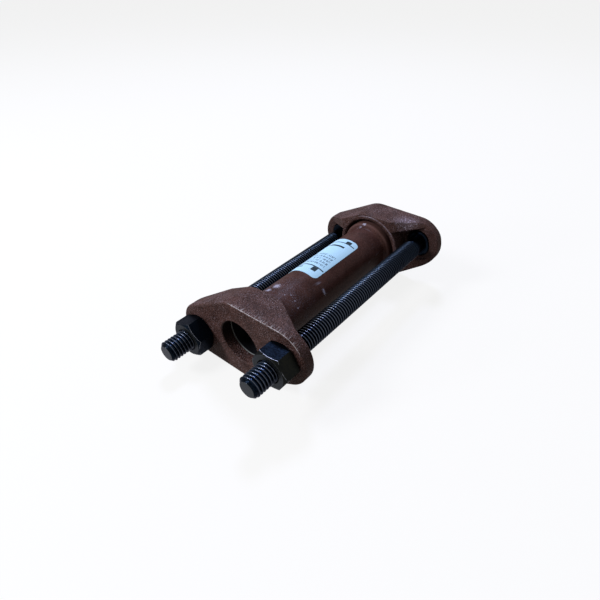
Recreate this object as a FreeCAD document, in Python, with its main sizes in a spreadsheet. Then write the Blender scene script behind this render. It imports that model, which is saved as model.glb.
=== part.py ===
import FreeCAD, Part
import math
import os
import Sketcher

# A two-bolt compression coupling for plain-end pipe, lying on one slanted side of its end glands.
# The pipe axis is Y through the origin, the middle of the middle ring is at the origin, Z is up.
# Each piece is drawn about its own local Z axis and then laid along Y by its placement.

doc = FreeCAD.newDocument("Coupling")
sheet = doc.addObject("Spreadsheet::Sheet", "Sizes")

# name, value in millimetres or degrees (or a formula), what it is
size_rows = [
    ("pipe_bore_radius", "13.6", "hole for 3/4 inch iron pipe, 26.7 mm outside"),
    ("ring_length", "127", "middle ring, 5 inches"),
    ("ring_wall", "2.5", "wall of the middle ring"),
    ("ring_radius", "=pipe_bore_radius + ring_wall", "outside of the middle ring"),
    ("flare_rise", "2.3", "how far each end of the ring is swaged out"),
    ("flare_lip", "10.8", "straight part of the swaged end"),
    ("flare_run", "3.2", "cone between the lip and the ring"),
    ("flare_radius", "=ring_radius + flare_rise", "outside of the swaged end"),
    ("lug_offset", "30.5", "centre of the round lug end from the pipe axis"),
    ("lug_radius", "17.5", "round of the lug end"),
    ("apex_offset", "6.4", "centre of the blunt top and bottom corners"),
    ("apex_radius", "19", "round of the blunt top and bottom corners"),
    ("plate_thickness", "7", "outer plate of the gland"),
    ("gland_depth", "20.8", "outer face to gasket cup rim"),
    ("web_height", "20.3", "outer face to the top of the side walls"),
    ("web_draft", "1.0", "how far the walls lean in from plate to top"),
    ("channel_half_width", "11.5", "half of the bolt channel between the side walls"),
    ("web_top", "20", "where the side walls start to slope down"),
    ("web_foot", "40.5", "where the side walls run out on the lug"),
    ("cup_radius", "20.4", "gasket cup inside the hub"),
    ("hub_wall", "3", "wall of the gasket cup"),
    ("hub_radius", "=cup_radius + hub_wall", "outside of the hub"),
    ("face_round", "1.2", "rounded edge of the outer face"),
    ("wall_round", "0.8", "rounded top edges of the side walls"),
    ("rim_bevel", "0.8", "bevels of the cup rim"),
    ("hole_bevel", "0.6", "bevel of the pipe hole and the slots"),
    ("root_round", "1.2", "fillet where the hub stands on the plate"),
    ("bolt_offset", "33.5", "bolt axis from the pipe axis"),
    ("bolt_radius", "6.35", "half inch thread crest"),
    ("shank_radius", "6.1", "plain shank beside the thread"),
    ("thread_length", "152.4", "six inches of thread"),
    ("bolt_projection", "25.4", "bolt tip beyond the near gland"),
    ("tip_bevel", "1.5", "bevel on the bolt tip"),
    ("neck_half_width", "7.7", "oval neck, short half axis"),
    ("neck_half_height", "9.2", "oval neck, long half axis"),
    ("neck_length", "8.6", "oval neck, from under the head"),
    ("neck_clearance", "0.55", "slot round the oval neck"),
    ("neck_bevel", "0.9", "bevel between neck and shank"),
    ("head_radius", "13", "domed head"),
    ("head_height", "9", "domed head"),
    ("head_rim", "2.2", "upright edge of the domed head"),
    ("nut_flats", "20.64", "hexagon nut across flats, 13/16 inch"),
    ("nut_thickness", "11.1", "7/16 inch"),
    ("nut_clearance", "0.08", "nut thread over bolt thread, on radius"),
    ("nut_seat_gap", "0.05", "nut face to gland face"),
    ("nut_bevel_slope", "30", "corner bevel of the nut, degrees"),
    ("nut_bevel_inset", "0.5", "corner bevel, in from the flats at the nut face"),
    ("nut_bevel_circle", "=nut_flats / 2 - nut_bevel_inset", "round face of the nut, radius"),
    ("nut_mouth_bevel", "0.7", "countersink of the nut thread"),
    ("nut_corner", "=nut_flats / sqrt(3)", "nut corner from its axis"),
    ("nut_turned_left", "3", "turn of the left nut about its bolt, degrees"),
    ("nut_turned_right", "45", "turn of the right nut about its bolt, degrees"),
    ("gasket_heel", "4.3", "rubber between the plate and the ring end"),
    ("gasket_seat_gap", "0.2", "rubber to ring end before the nuts are tightened"),
    ("gasket_clearance", "0.2", "rubber to the cup and to the swaged end, on radius"),
    ("gasket_nose", "7.5", "wedge that reaches into the swaged end"),
    ("gasket_nose_tip", "0.7", "rubber at the wedge tip"),
    ("gasket_lip", "0.2", "rubber that stands inside the pipe hole"),
    ("gasket_bevel", "0.5", "softened lip of the rubber"),
    ("label_length", "48.2", "sticker along the pipe"),
    ("label_start", "-18.5", "sticker end nearest the nuts, from mid ring"),
    ("label_angle", "125", "arc that the sticker covers, degrees"),
    ("label_turn", "46", "where the arc starts, degrees from the bolt plane"),
    ("label_thickness", "0.15", "sticker"),
    ("face_distance", "=ring_length / 2 + gasket_seat_gap + gasket_heel + plate_thickness",
     "gland face from mid ring"),
    ("side_run", "=sqrt(lug_offset * lug_offset + apex_offset * apex_offset)", "lug to apex centres"),
    ("side_slope", "=atan(apex_offset / lug_offset) + asin((apex_radius - lug_radius) / side_run)",
     "slant of the gland sides, and so the roll at rest"),
]

for row, (alias, value, note) in enumerate(size_rows, 1):
    sheet.set(f"A{row}", alias)
    sheet.set(f"B{row}", value)
    sheet.setAlias(f"B{row}", alias)
    sheet.set(f"C{row}", note)
doc.recompute()


def bound(text):
    """Put the sheet's name before each size in an expression."""
    aliases = sorted((alias for alias, value, note in size_rows), key=len, reverse=True)
    for place, alias in enumerate(aliases):
        text = text.replace(alias, f"<{place}>")
    for place, alias in enumerate(aliases):
        text = text.replace(f"<{place}>", f"Sizes.{alias}")
    return text


def number(text):
    """Work out an expression of sizes as a plain number."""
    result = sheet.evalExpression(bound(text))
    return float(getattr(result, "Value", result))


def new_body(label):
    body = doc.addObject("PartDesign::Body", "Body_" + label)
    body.Label = label
    return body


def new_sketch(body, name, plane="XY_Plane", lift=None):
    sketch = body.newObject("Sketcher::SketchObject", name)
    origin_plane = next(f for f in body.Origin.OriginFeatures if f.Role == plane)
    sketch.AttachmentSupport = [(origin_plane, "")]
    sketch.MapMode = "FlatFace"
    if lift:
        sketch.setExpression("AttachmentOffset.Base.z", bound(lift))
    return sketch


def pin_point(sketch, geometry, point, x_text, y_text):
    """Hold one point of a sketch at a place given by two expressions."""
    for kind, axis, text in (("DistanceX", -2, x_text), ("DistanceY", -1, y_text)):
        if text == "0":
            sketch.addConstraint(Sketcher.Constraint("PointOnObject", geometry, point, axis))
            continue
        value = number(text)
        if value < 0:
            ends = (geometry, point, -1, 1)
            text = f"-({text})"
        else:
            ends = (-1, 1, geometry, point)
        index = sketch.addConstraint(Sketcher.Constraint(kind, *ends, abs(value)))
        sketch.setExpression(f"Constraints[{index}]", bound(text))


def polygon(sketch, corners):
    """Draw a closed outline through corners given as pairs of expressions."""
    spots = [FreeCAD.Vector(number(x), number(y), 0) for x, y in corners]
    count = len(spots)
    for i in range(count):
        sketch.addGeometry(Part.LineSegment(spots[i], spots[(i + 1) % count]), False)
    for i in range(count):
        sketch.addConstraint(Sketcher.Constraint("Coincident", i, 2, (i + 1) % count, 1))
    for i, (x_text, y_text) in enumerate(corners):
        pin_point(sketch, i, 1, x_text, y_text)


def circle(sketch, radius_text, x_text="0", y_text="0"):
    centre = FreeCAD.Vector(number(x_text), number(y_text), 0)
    normal = FreeCAD.Vector(0, 0, 1)
    index = sketch.addGeometry(Part.Circle(centre, normal, number(radius_text)), False)
    pin_point(sketch, index, 3, x_text, y_text)
    radius = sketch.addConstraint(Sketcher.Constraint("Radius", index, number(radius_text)))
    sketch.setExpression(f"Constraints[{radius}]", bound(radius_text))


def lozenge(sketch, inset_text):
    """Two round lugs and two blunt corners, joined by four tangent sides."""
    inset = number(inset_text)
    lug_x, apex_y = number("lug_offset"), number("apex_offset")
    lug_r, apex_r = number("lug_radius") - inset, number("apex_radius") - inset
    slope = math.radians(number("side_slope"))
    lean = FreeCAD.Vector(math.sin(slope), math.cos(slope), 0)
    # centre x, centre y, radius, first and last angle of each arc, going anticlockwise
    quarter = math.pi / 2
    arcs = [
        (lug_x, 0, lug_r, slope - quarter, quarter - slope),
        (0, apex_y, apex_r, quarter - slope, quarter + slope),
        (-lug_x, 0, lug_r, quarter + slope, 3 * quarter - slope),
        (0, -apex_y, apex_r, 3 * quarter - slope, 3 * quarter + slope),
    ]
    for x, y, radius, first, last in arcs:
        round_part = Part.Circle(FreeCAD.Vector(x, y, 0), FreeCAD.Vector(0, 0, 1), radius)
        sketch.addGeometry(Part.ArcOfCircle(round_part, first, last), False)
    for i in range(4):
        start = sketch.getPoint(i, 2)
        end = sketch.getPoint((i + 1) % 4, 1)
        side = sketch.addGeometry(Part.LineSegment(start, end), False)
        sketch.addConstraint(Sketcher.Constraint("Tangent", i, 2, side, 1))
        sketch.addConstraint(Sketcher.Constraint("Tangent", side, 2, (i + 1) % 4, 1))
    pin_point(sketch, 0, 3, "lug_offset", "0")
    pin_point(sketch, 1, 3, "0", "apex_offset")
    pin_point(sketch, 2, 3, "-lug_offset", "0")
    pin_point(sketch, 3, 3, "0", "-apex_offset")
    for i, text in enumerate(("lug_radius", "apex_radius", "lug_radius", "apex_radius")):
        text = f"{text} - {inset_text}"
        index = sketch.addConstraint(Sketcher.Constraint("Radius", i, number(text)))
        sketch.setExpression(f"Constraints[{index}]", bound(text))


def oval(sketch, x_text, half_width, rise):
    """An upright oval: two half circles joined by short straight sides."""
    x, radius, up = number(x_text), number(half_width), number(rise)
    normal = FreeCAD.Vector(0, 0, 1)
    top = Part.Circle(FreeCAD.Vector(x, up, 0), normal, radius)
    bottom = Part.Circle(FreeCAD.Vector(x, -up, 0), normal, radius)
    sketch.addGeometry(Part.ArcOfCircle(top, 0, math.pi), False)
    sketch.addGeometry(Part.ArcOfCircle(bottom, math.pi, 2 * math.pi), False)
    for arc, other in ((0, 1), (1, 0)):
        side = sketch.addGeometry(
            Part.LineSegment(sketch.getPoint(arc, 2), sketch.getPoint(other, 1)), False)
        sketch.addConstraint(Sketcher.Constraint("Tangent", arc, 2, side, 1))
        sketch.addConstraint(Sketcher.Constraint("Tangent", side, 2, other, 1))
    pin_point(sketch, 0, 3, x_text, rise)
    pin_point(sketch, 1, 3, x_text, f"-{rise}")
    index = sketch.addConstraint(Sketcher.Constraint("Radius", 0, radius))
    sketch.setExpression(f"Constraints[{index}]", bound(half_width))


def pad(body, sketch, length_text, name):
    feature = body.newObject("PartDesign::Pad", name)
    feature.Profile = sketch
    feature.setExpression("Length", bound(length_text))
    return feature


def pocket(body, sketch, length_text, name, upward=True, both_ways=False):
    feature = body.newObject("PartDesign::Pocket", name)
    feature.Profile = sketch
    feature.Reversed = upward
    feature.Midplane = both_ways
    feature.setExpression("Length", bound(length_text))
    return feature


def turned(body, sketch, name, angle_text=None):
    feature = body.newObject("PartDesign::Revolution", name)
    feature.Profile = sketch
    feature.ReferenceAxis = (sketch, ["V_Axis"])
    feature.Angle = 360
    if angle_text:
        feature.setExpression("Angle", bound(angle_text))
    return feature


def mirrored(body, features, name):
    feature = body.newObject("PartDesign::Mirrored", name)
    feature.Originals = features
    plane = next(f for f in body.Origin.OriginFeatures if f.Role == "YZ_Plane")
    feature.MirrorPlane = (plane, [""])
    body.Tip = feature
    return feature


def soften(body, kind, size_text, wanted, name):
    """Round or bevel every edge of the body so far that the test picks out."""
    doc.recompute()
    base = body.Tip
    edges = [f"Edge{i + 1}" for i, edge in enumerate(base.Shape.Edges) if wanted(edge)]
    feature = body.newObject("PartDesign::" + kind, name)
    feature.Base = (base, edges)
    feature.setExpression("Radius" if kind == "Fillet" else "Size", bound(size_text))
    body.Tip = feature
    return feature


def near(a, b):
    return abs(a - b) < 1e-4


def level(edge, height):
    """True for an edge that lies wholly at one height."""
    box = edge.BoundBox
    return near(box.ZMin, height) and near(box.ZMax, height)


def ring_edge(edge, radius, height):
    """True for a circle or an arc about the local Z axis."""
    if not level(edge, height) or not isinstance(edge.Curve, Part.Circle):
        return False
    centre = edge.Curve.Center
    return near(edge.Curve.Radius, radius) and near(centre.x, 0) and near(centre.y, 0)


def lay(body, x_text, y_text, local_turn, spin_text="0"):
    """Lay a piece along the pipe, then roll all of them on to the slanted side."""
    roll = "rotation(vector(0; 1; 0); -side_slope)"
    tip_over = f"rotation({local_turn}; 90)"
    spin = f"rotation(vector(0; 0; 1); {spin_text})"
    place = f"vector({x_text}; {y_text}; 0)"
    text = f"placement(vector(0; 0; 0); {roll}) * placement({place}; {tip_over} * {spin})"
    body.setExpression("Placement", bound(text))


toward_far = "vector(-1; 0; 0)"
toward_near = "vector(1; 0; 0)"


# Middle ring: a steel tube with both ends swaged out over the gaskets
def make_middle_ring():
    body = new_body("middle_ring")
    sketch = new_sketch(body, "ring_profile", "XZ_Plane")
    bore, outside = "pipe_bore_radius", "ring_radius"
    lip_bore, lip_outside = "pipe_bore_radius + flare_rise", "flare_radius"
    lip, cone = "flare_lip", "flare_lip + flare_run"
    polygon(sketch, [
        (lip_bore, "0"), (lip_outside, "0"), (lip_outside, lip), (outside, cone),
        (outside, f"ring_length - ({cone})"), (lip_outside, f"ring_length - {lip}"),
        (lip_outside, "ring_length"), (lip_bore, "ring_length"),
        (lip_bore, f"ring_length - {lip}"), (bore, f"ring_length - ({cone})"),
        (bore, cone), (lip_bore, lip),
    ])
    turned(body, sketch, "ring_wall_turned")
    lip_ends = [number(lip), number("ring_length - flare_lip")]
    cone_ends = [number(cone), number("ring_length - flare_lip - flare_run")]

    def bead_edge(edge):
        outer = any(ring_edge(edge, number(lip_outside), z) for z in lip_ends)
        return outer or any(ring_edge(edge, number(outside), z) for z in cone_ends)

    soften(body, "Fillet", "flare_run / 2", bead_edge, "flare_rounds")
    lay(body, "0", "-ring_length / 2", toward_far)


def hub_outline(sketch):
    """Half section of the solid hub: a bevelled rim, an upright side and a hollow round at its foot."""
    foot = "(hub_radius + root_round)"
    corners = [
        ("hub_radius", "plate_thickness + root_round"), ("hub_radius", "gland_depth - rim_bevel"),
        ("hub_radius - rim_bevel", "gland_depth"), ("0", "gland_depth"), ("0", "plate_thickness"),
        (foot, "plate_thickness"),
    ]
    spots = [FreeCAD.Vector(number(x), number(y), 0) for x, y in corners]
    for start, end in zip(spots, spots[1:]):
        sketch.addGeometry(Part.LineSegment(start, end), False)
    centre = spots[-1] + FreeCAD.Vector(0, number("root_round"), 0)
    hollow = Part.Circle(centre, FreeCAD.Vector(0, 0, 1), number("root_round"))
    last = sketch.addGeometry(Part.ArcOfCircle(hollow, math.pi, 3 * math.pi / 2), False)
    for i in range(last - 1):
        sketch.addConstraint(Sketcher.Constraint("Coincident", i, 2, i + 1, 1))
    sketch.addConstraint(Sketcher.Constraint("Coincident", last, 1, 0, 1))
    sketch.addConstraint(Sketcher.Constraint("Coincident", last, 2, last - 1, 2))
    for i, (x_text, y_text) in enumerate(corners[:-1]):
        pin_point(sketch, i, 1, x_text, y_text)
    pin_point(sketch, last - 1, 2, *corners[-1])
    radius = sketch.addConstraint(Sketcher.Constraint("Radius", last, number("root_round")))
    sketch.setExpression(f"Constraints[{radius}]", bound("root_round"))


def soften_walls(body, label, picked):
    """Round the top edges of the walls, or the long edges of the bolt channel, before the hub is added."""
    plate, top = number("plate_thickness"), number("web_height")
    slope_start, slope_end = number("web_top"), number("web_foot")
    channel = number("channel_half_width")

    def wall_top(x):
        share = (abs(x) - slope_start) / (slope_end - slope_start)
        return top + (plate - top) * min(max(share, 0), 1)

    def on_top(edge):
        middle = edge.valueAt((edge.FirstParameter + edge.LastParameter) / 2)
        spots = [vertex.Point for vertex in edge.Vertexes] + [middle]
        return all(near(p.z, wall_top(p.x)) for p in spots)

    def along_channel(edge):
        return all(near(abs(vertex.Y), channel) for vertex in edge.Vertexes)

    def outer_edge(edge):
        middle = edge.valueAt((edge.FirstParameter + edge.LastParameter) / 2)
        straight_across = all(near(vertex.X, middle.x) for vertex in edge.Vertexes)
        beside_slot = math.hypot(abs(middle.x) - number("bolt_offset"), middle.y) < number("lug_radius") - 3
        return on_top(edge) and not straight_across and not beside_slot

    def inner_edge(edge):
        return on_top(edge) and along_channel(edge)

    wanted = {"outer": outer_edge, "inner": inner_edge}[picked]
    soften(body, "Fillet", "wall_round", wanted, f"{label}_{picked}_round")


def bevel_gland(body, label):
    """Bevel the cup rim, the pipe hole and the slots, picked out by where they lie."""
    depth, cup, hole = number("gland_depth"), number("cup_radius"), number("pipe_bore_radius")
    slot_x, slot_radius = number("bolt_offset"), number("neck_half_width + neck_clearance")
    slot_rise = number("neck_half_height - neck_half_width")

    def on_slot(edge):
        middle = edge.valueAt((edge.FirstParameter + edge.LastParameter) / 2)
        spots = [vertex.Point for vertex in edge.Vertexes] + [middle]
        return all(near(math.hypot(abs(p.x) - slot_x, max(abs(p.y) - slot_rise, 0)), slot_radius)
                   for p in spots)

    def hole_edge(edge):
        return level(edge, 0) and on_slot(edge) or ring_edge(edge, hole, 0)

    soften(body, "Chamfer", "rim_bevel", lambda e: ring_edge(e, cup, depth), label + "_rim_bevel")
    soften(body, "Chamfer", "hole_bevel", hole_edge, label + "_hole_bevel")


# Gland: one casting, a lozenge plate with a gasket cup and two side walls that slope to the lugs
def make_gland(label, y_text, local_turn):
    body = new_body(label)
    outline = new_sketch(body, label + "_outline")
    lozenge(outline, "0")
    pad(body, outline, "plate_thickness", label + "_plate")
    soften(body, "Fillet", "face_round", lambda edge: level(edge, 0), label + "_face_round")

    wall_foot = new_sketch(body, label + "_wall_foot", lift="plate_thickness")
    lozenge(wall_foot, "0")
    wall_head = new_sketch(body, label + "_wall_head", lift="web_height")
    lozenge(wall_head, "web_draft")
    walls = body.newObject("PartDesign::AdditiveLoft", label + "_walls")
    walls.Profile = wall_foot
    walls.Sections = [wall_head]
    walls.Ruled = True

    side_x = "(lug_offset + lug_radius + plate_thickness)"
    above = "(web_height + plate_thickness)"
    shoulder = new_sketch(body, label + "_shoulder", "XZ_Plane")
    polygon(shoulder, [
        ("web_top", "web_height"), ("web_foot", "plate_thickness"), (side_x, "plate_thickness"),
        (side_x, above), ("web_top", above),
    ])
    slope_cut = pocket(body, shoulder, "2 * " + side_x, label + "_shoulder_cut", both_ways=True)
    mirrored(body, [slope_cut], label + "_other_shoulder")
    soften_walls(body, label, "outer")

    channel = new_sketch(body, label + "_channel", lift="plate_thickness")
    polygon(channel, [
        (side_x, "channel_half_width"), (f"-{side_x}", "channel_half_width"),
        (f"-{side_x}", "-channel_half_width"), (side_x, "-channel_half_width"),
    ])
    pocket(body, channel, "gland_depth", label + "_channel_cut")
    soften_walls(body, label, "inner")

    hub = new_sketch(body, label + "_hub_profile", "XZ_Plane")
    hub_outline(hub)
    turned(body, hub, label + "_hub")
    cup = new_sketch(body, label + "_cup", lift="plate_thickness")
    circle(cup, "cup_radius")
    pocket(body, cup, "gland_depth", label + "_cup_cut")
    bore = new_sketch(body, label + "_bore")
    circle(bore, "pipe_bore_radius")
    pocket(body, bore, "gland_depth", label + "_bore_cut")
    slot = new_sketch(body, label + "_slot")
    oval(slot, "bolt_offset", "(neck_half_width + neck_clearance)",
         "(neck_half_height - neck_half_width)")
    slot_cut = pocket(body, slot, "plate_thickness", label + "_slot_cut")
    mirrored(body, [slot_cut], label + "_other_slot")

    bevel_gland(body, label)
    lay(body, "0", y_text, local_turn)


# Gasket: a rubber ring in the cup whose wedge reaches into the swaged end of the ring
def make_gasket(label, y_text, local_turn):
    body = new_body(label)
    sketch = new_sketch(body, label + "_profile", "XZ_Plane")
    inner = "pipe_bore_radius - gasket_lip"
    outer = "cup_radius - gasket_clearance"
    mouth = "pipe_bore_radius + flare_rise - gasket_clearance"
    heel = "plate_thickness + gasket_heel"
    polygon(sketch, [
        (inner, "plate_thickness + gasket_bevel"), (f"{inner} + gasket_bevel", "plate_thickness"),
        (f"{outer} - gasket_bevel", "plate_thickness"), (outer, "plate_thickness + gasket_bevel"),
        (outer, heel), (mouth, heel), (f"{inner} + gasket_nose_tip", f"{heel} + gasket_nose"),
        (inner, f"{heel} + gasket_nose"),
    ])
    turned(body, sketch, label + "_turned")
    lay(body, "0", y_text, local_turn)


# Track bolt: domed head, oval neck that keys into the gland slot, plain shank, rolled thread
def make_bolt(label, x_text):
    body = new_body(label)
    sketch = new_sketch(body, label + "_profile", "XZ_Plane")
    full = "(2 * face_distance + bolt_projection)"
    dome_rise = "(head_height - head_rim)"
    dome_radius = f"((head_radius * head_radius + {dome_rise} * {dome_rise}) / (2 * {dome_rise}))"
    corners = [
        ("0", "-head_height"), ("0", full), ("bolt_radius - tip_bevel", full),
        ("bolt_radius", f"{full} - tip_bevel"), ("bolt_radius", f"{full} - thread_length"),
        ("shank_radius", f"{full} - thread_length"), ("shank_radius", "0"), ("head_radius", "0"),
        ("head_radius", "-head_rim"),
    ]
    spots = [FreeCAD.Vector(number(x), number(y), 0) for x, y in corners]
    for start, end in zip(spots, spots[1:]):
        sketch.addGeometry(Part.LineSegment(start, end), False)
    centre = FreeCAD.Vector(0, number(f"{dome_radius} - head_height"), 0)
    dome = Part.Circle(centre, FreeCAD.Vector(0, 0, 1), number(dome_radius))
    rim_angle = math.atan2(spots[-1].y - centre.y, spots[-1].x)
    arc = sketch.addGeometry(Part.ArcOfCircle(dome, -math.pi / 2, rim_angle), False)
    for i in range(len(spots) - 2):
        sketch.addConstraint(Sketcher.Constraint("Coincident", i, 2, i + 1, 1))
    sketch.addConstraint(Sketcher.Constraint("Coincident", arc - 1, 2, arc, 2))
    sketch.addConstraint(Sketcher.Constraint("Coincident", arc, 1, 0, 1))
    for i, (x_text_, y_text) in enumerate(corners[:-1]):
        pin_point(sketch, i, 1, x_text_, y_text)
    pin_point(sketch, arc - 1, 2, *corners[-1])
    sketch.addConstraint(Sketcher.Constraint("PointOnObject", arc, 3, -2))
    turned(body, sketch, label + "_turned")

    neck = new_sketch(body, label + "_neck")
    oval(neck, "0", "neck_half_width", "(neck_half_height - neck_half_width)")
    pad(body, neck, "neck_length", label + "_neck_pad")
    neck_end = number("neck_length")
    rods = [number("shank_radius"), number("bolt_radius")]

    def oval_edge(edge):
        return level(edge, neck_end) and not any(ring_edge(edge, r, neck_end) for r in rods)

    soften(body, "Chamfer", "neck_bevel", oval_edge, label + "_neck_bevel")
    lay(body, x_text, "face_distance", toward_near)


# Nut: hexagon with both faces bevelled at the corners
def make_nut(label, x_text, spin_text):
    body = new_body(label)
    sketch = new_sketch(body, label + "_hexagon")
    half = "nut_flats / 2"
    polygon(sketch, [
        ("nut_corner", "0"), ("nut_corner / 2", half), ("-nut_corner / 2", half),
        ("-nut_corner", "0"), ("-nut_corner / 2", f"-{half}"), ("nut_corner / 2", f"-{half}"),
    ])
    pad(body, sketch, "nut_thickness", label + "_blank")
    bore = new_sketch(body, label + "_thread")
    circle(bore, "bolt_radius + nut_clearance")
    pocket(body, bore, "nut_thickness", label + "_thread_cut")

    far_out = "2 * nut_corner"
    drop = f"({far_out} - nut_bevel_circle) * tan(nut_bevel_slope)"
    bevels = new_sketch(body, label + "_corner_bevel", "XZ_Plane")
    polygon(bevels, [
        ("nut_bevel_circle", "nut_thickness"), (far_out, f"nut_thickness - {drop}"),
        (far_out, "nut_thickness"),
    ])
    outer_cut = body.newObject("PartDesign::Groove", label + "_outer_bevel")
    outer_cut.Profile = bevels
    outer_cut.ReferenceAxis = (bevels, ["V_Axis"])
    outer_cut.Angle = 360
    seat = new_sketch(body, label + "_seat_bevel", "XZ_Plane")
    polygon(seat, [("nut_bevel_circle", "0"), (far_out, "0"), (far_out, drop)])
    seat_cut = body.newObject("PartDesign::Groove", label + "_inner_bevel")
    seat_cut.Profile = seat
    seat_cut.ReferenceAxis = (seat, ["V_Axis"])
    seat_cut.Angle = 360
    hole = number("bolt_radius + nut_clearance")
    ends = (0, number("nut_thickness"))
    soften(body, "Chamfer", "nut_mouth_bevel",
           lambda e: any(ring_edge(e, hole, z) for z in ends), label + "_mouth_bevel")
    lay(body, x_text, "-face_distance - nut_seat_gap", toward_near, spin_text)


# Label: a paper sticker wrapped part of the way round the middle ring
def make_label():
    body = new_body("label")
    sketch = new_sketch(body, "label_profile", "XZ_Plane")
    start = "ring_length / 2 + label_start"
    outer = "ring_radius + label_thickness"
    polygon(sketch, [
        ("ring_radius", start), (outer, start), (outer, f"{start} + label_length"),
        ("ring_radius", f"{start} + label_length"),
    ])
    turned(body, sketch, "label_wrap", "label_angle")

    lay(body, "0", "-ring_length / 2", toward_far, "-(label_turn + label_angle)")


make_middle_ring()
make_label()
make_gland("near_gland", "-face_distance", toward_far)
make_gasket("near_gasket", "-face_distance", toward_far)
make_gland("far_gland", "face_distance", toward_near)
make_gasket("far_gasket", "face_distance", toward_near)
make_bolt("left_bolt", "-bolt_offset")
make_bolt("right_bolt", "bolt_offset")
make_nut("left_nut", "-bolt_offset", "nut_turned_left")
make_nut("right_nut", "bolt_offset", "nut_turned_right")

doc.recompute()
problems = [o.Name for o in doc.Objects if "Invalid" in o.State or "Error" in o.State]
if problems:
    raise RuntimeError(f"could not build: {problems}")
os.makedirs("parts", exist_ok=True)
for body in [o for o in doc.Objects if o.TypeId == "PartDesign::Body"]:
    if body.Shape.isNull() or not body.Shape.isValid() or len(body.Shape.Solids) != 1:
        raise RuntimeError(f"{body.Label} is not one sound solid")
    body.Shape.exportStep(f"parts/{body.Label}.step")
    print(body.Label, round(body.Shape.Volume), "mm3")
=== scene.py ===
import math

import bpy
import numpy as np
from mathutils import Matrix, Vector


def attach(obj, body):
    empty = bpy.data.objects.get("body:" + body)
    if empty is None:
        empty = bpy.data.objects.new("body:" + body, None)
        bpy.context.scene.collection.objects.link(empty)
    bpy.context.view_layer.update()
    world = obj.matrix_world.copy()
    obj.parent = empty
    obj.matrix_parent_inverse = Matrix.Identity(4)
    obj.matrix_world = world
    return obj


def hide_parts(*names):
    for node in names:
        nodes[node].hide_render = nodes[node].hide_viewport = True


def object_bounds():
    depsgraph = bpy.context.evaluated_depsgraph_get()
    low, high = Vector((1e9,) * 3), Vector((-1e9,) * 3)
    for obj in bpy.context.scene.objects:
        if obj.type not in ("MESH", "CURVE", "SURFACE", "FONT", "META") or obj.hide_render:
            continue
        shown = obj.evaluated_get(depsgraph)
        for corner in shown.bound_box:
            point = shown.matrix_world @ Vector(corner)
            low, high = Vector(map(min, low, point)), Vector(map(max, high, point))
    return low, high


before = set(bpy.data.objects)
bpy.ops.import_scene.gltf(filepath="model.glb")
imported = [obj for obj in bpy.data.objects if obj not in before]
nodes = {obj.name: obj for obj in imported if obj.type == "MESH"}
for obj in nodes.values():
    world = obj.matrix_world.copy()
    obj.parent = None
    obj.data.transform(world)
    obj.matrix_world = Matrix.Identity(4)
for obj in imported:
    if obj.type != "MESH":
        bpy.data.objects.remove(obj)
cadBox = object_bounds()

# the whole coupling is rolled on to the slanted side of its glands, so most work is done in
# a level gland frame: x from the left bolt to the right one, y along the pipe, z up
roll = math.radians(14.609614)


def toWorld(points):
    # level gland frame to the scene: a turn about the pipe axis
    c, s = math.cos(roll), math.sin(roll)
    turn = np.array([[c, 0, -s], [0, 1, 0], [s, 0, c]])
    return points @ turn.T


def addObject(name, data):
    made = bpy.data.objects.new(name, data)
    bpy.context.scene.collection.objects.link(made)
    return made


def addSurface(name, points, sharp, *faces):
    # faces are arrays of quads or of triangles, and an edge stays sharp where two of them meet at
    # more than so many degrees
    mesh = bpy.data.meshes.new(name)
    faceList = []
    for part in faces:
        faceList += part.tolist()
    mesh.from_pydata(points.tolist(), [], faceList)
    mesh.validate()
    mesh.shade_smooth()
    mesh.set_sharp_from_angle(angle=math.radians(sharp))
    return addObject(name, mesh)


# helpers that make nodes
layout = {  # how far apart nodes stand in the editor
    "column": 220,
    "row": 260,
}


def newMaterial(name):
    material = bpy.data.materials.new(name)
    material.use_nodes = True
    material.node_tree.nodes.clear()
    return material, material.node_tree


def addNode(tree, kind, inputs=None, **settings):
    # an input takes a link from another node's socket, or a plain value
    made = tree.nodes.new(kind)
    for key, value in settings.items():
        setattr(made, key, value)
    for target, source in (inputs or {}).items():
        if isinstance(source, bpy.types.NodeSocket):
            tree.links.new(source, made.inputs[target])
        else:
            made.inputs[target].default_value = source
    return made


def arrange(tree):
    # each node stands at least one column before all that it feeds, so that the tree can be read
    column = {node.name: 0 for node in tree.nodes}
    links = [(link.from_node.name, link.to_node.name) for link in tree.links]
    for _ in column:
        for before, after in links:
            column[before] = max(column[before], column[after] + 1)
    filled = {}
    for name, place in column.items():
        filled[place] = filled.get(place, 0) + 1
        tree.nodes[name].location = (-place * layout["column"], -filled[place] * layout["row"])


def sums(tree, kind, *values):
    # arithmetic on one or two values, and on more by taking up one after the other
    made = addNode(tree, "ShaderNodeMath", dict(enumerate(values[:2])), operation=kind)
    if len(values) > 2:
        return sums(tree, kind, made.outputs[0], *values[2:])
    return made.outputs[0]


def reach(tree, a, b):
    # distance from an axis: the root of a squared plus b squared
    squares = [sums(tree, "MULTIPLY", value, value) for value in (a, b)]
    return sums(tree, "SQRT", sums(tree, "ADD", *squares))


def ramp(tree, value, step):
    # a smooth step: where it begins and ends, and what it goes from and to unless that is 0 and 1
    low, high, toLow, toHigh = (*step, 0.0, 1.0)[:4]
    inputs = {"Value": value, "From Min": low, "From Max": high, "To Min": toLow, "To Max": toHigh}
    return addNode(tree, "ShaderNodeMapRange", inputs, interpolation_type="SMOOTHSTEP").outputs["Result"]


def product(tree, *pairs):
    # each pair is a value and its step, and what the steps give is multiplied
    return sums(tree, "MULTIPLY", *[ramp(tree, value, step) for value, step in pairs])


def noise(tree, vector, scale, detail, rough):
    inputs = {"Vector": vector, "Scale": scale, "Detail": detail, "Roughness": rough}
    return addNode(tree, "ShaderNodeTexNoise", inputs).outputs["Fac"]


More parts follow.
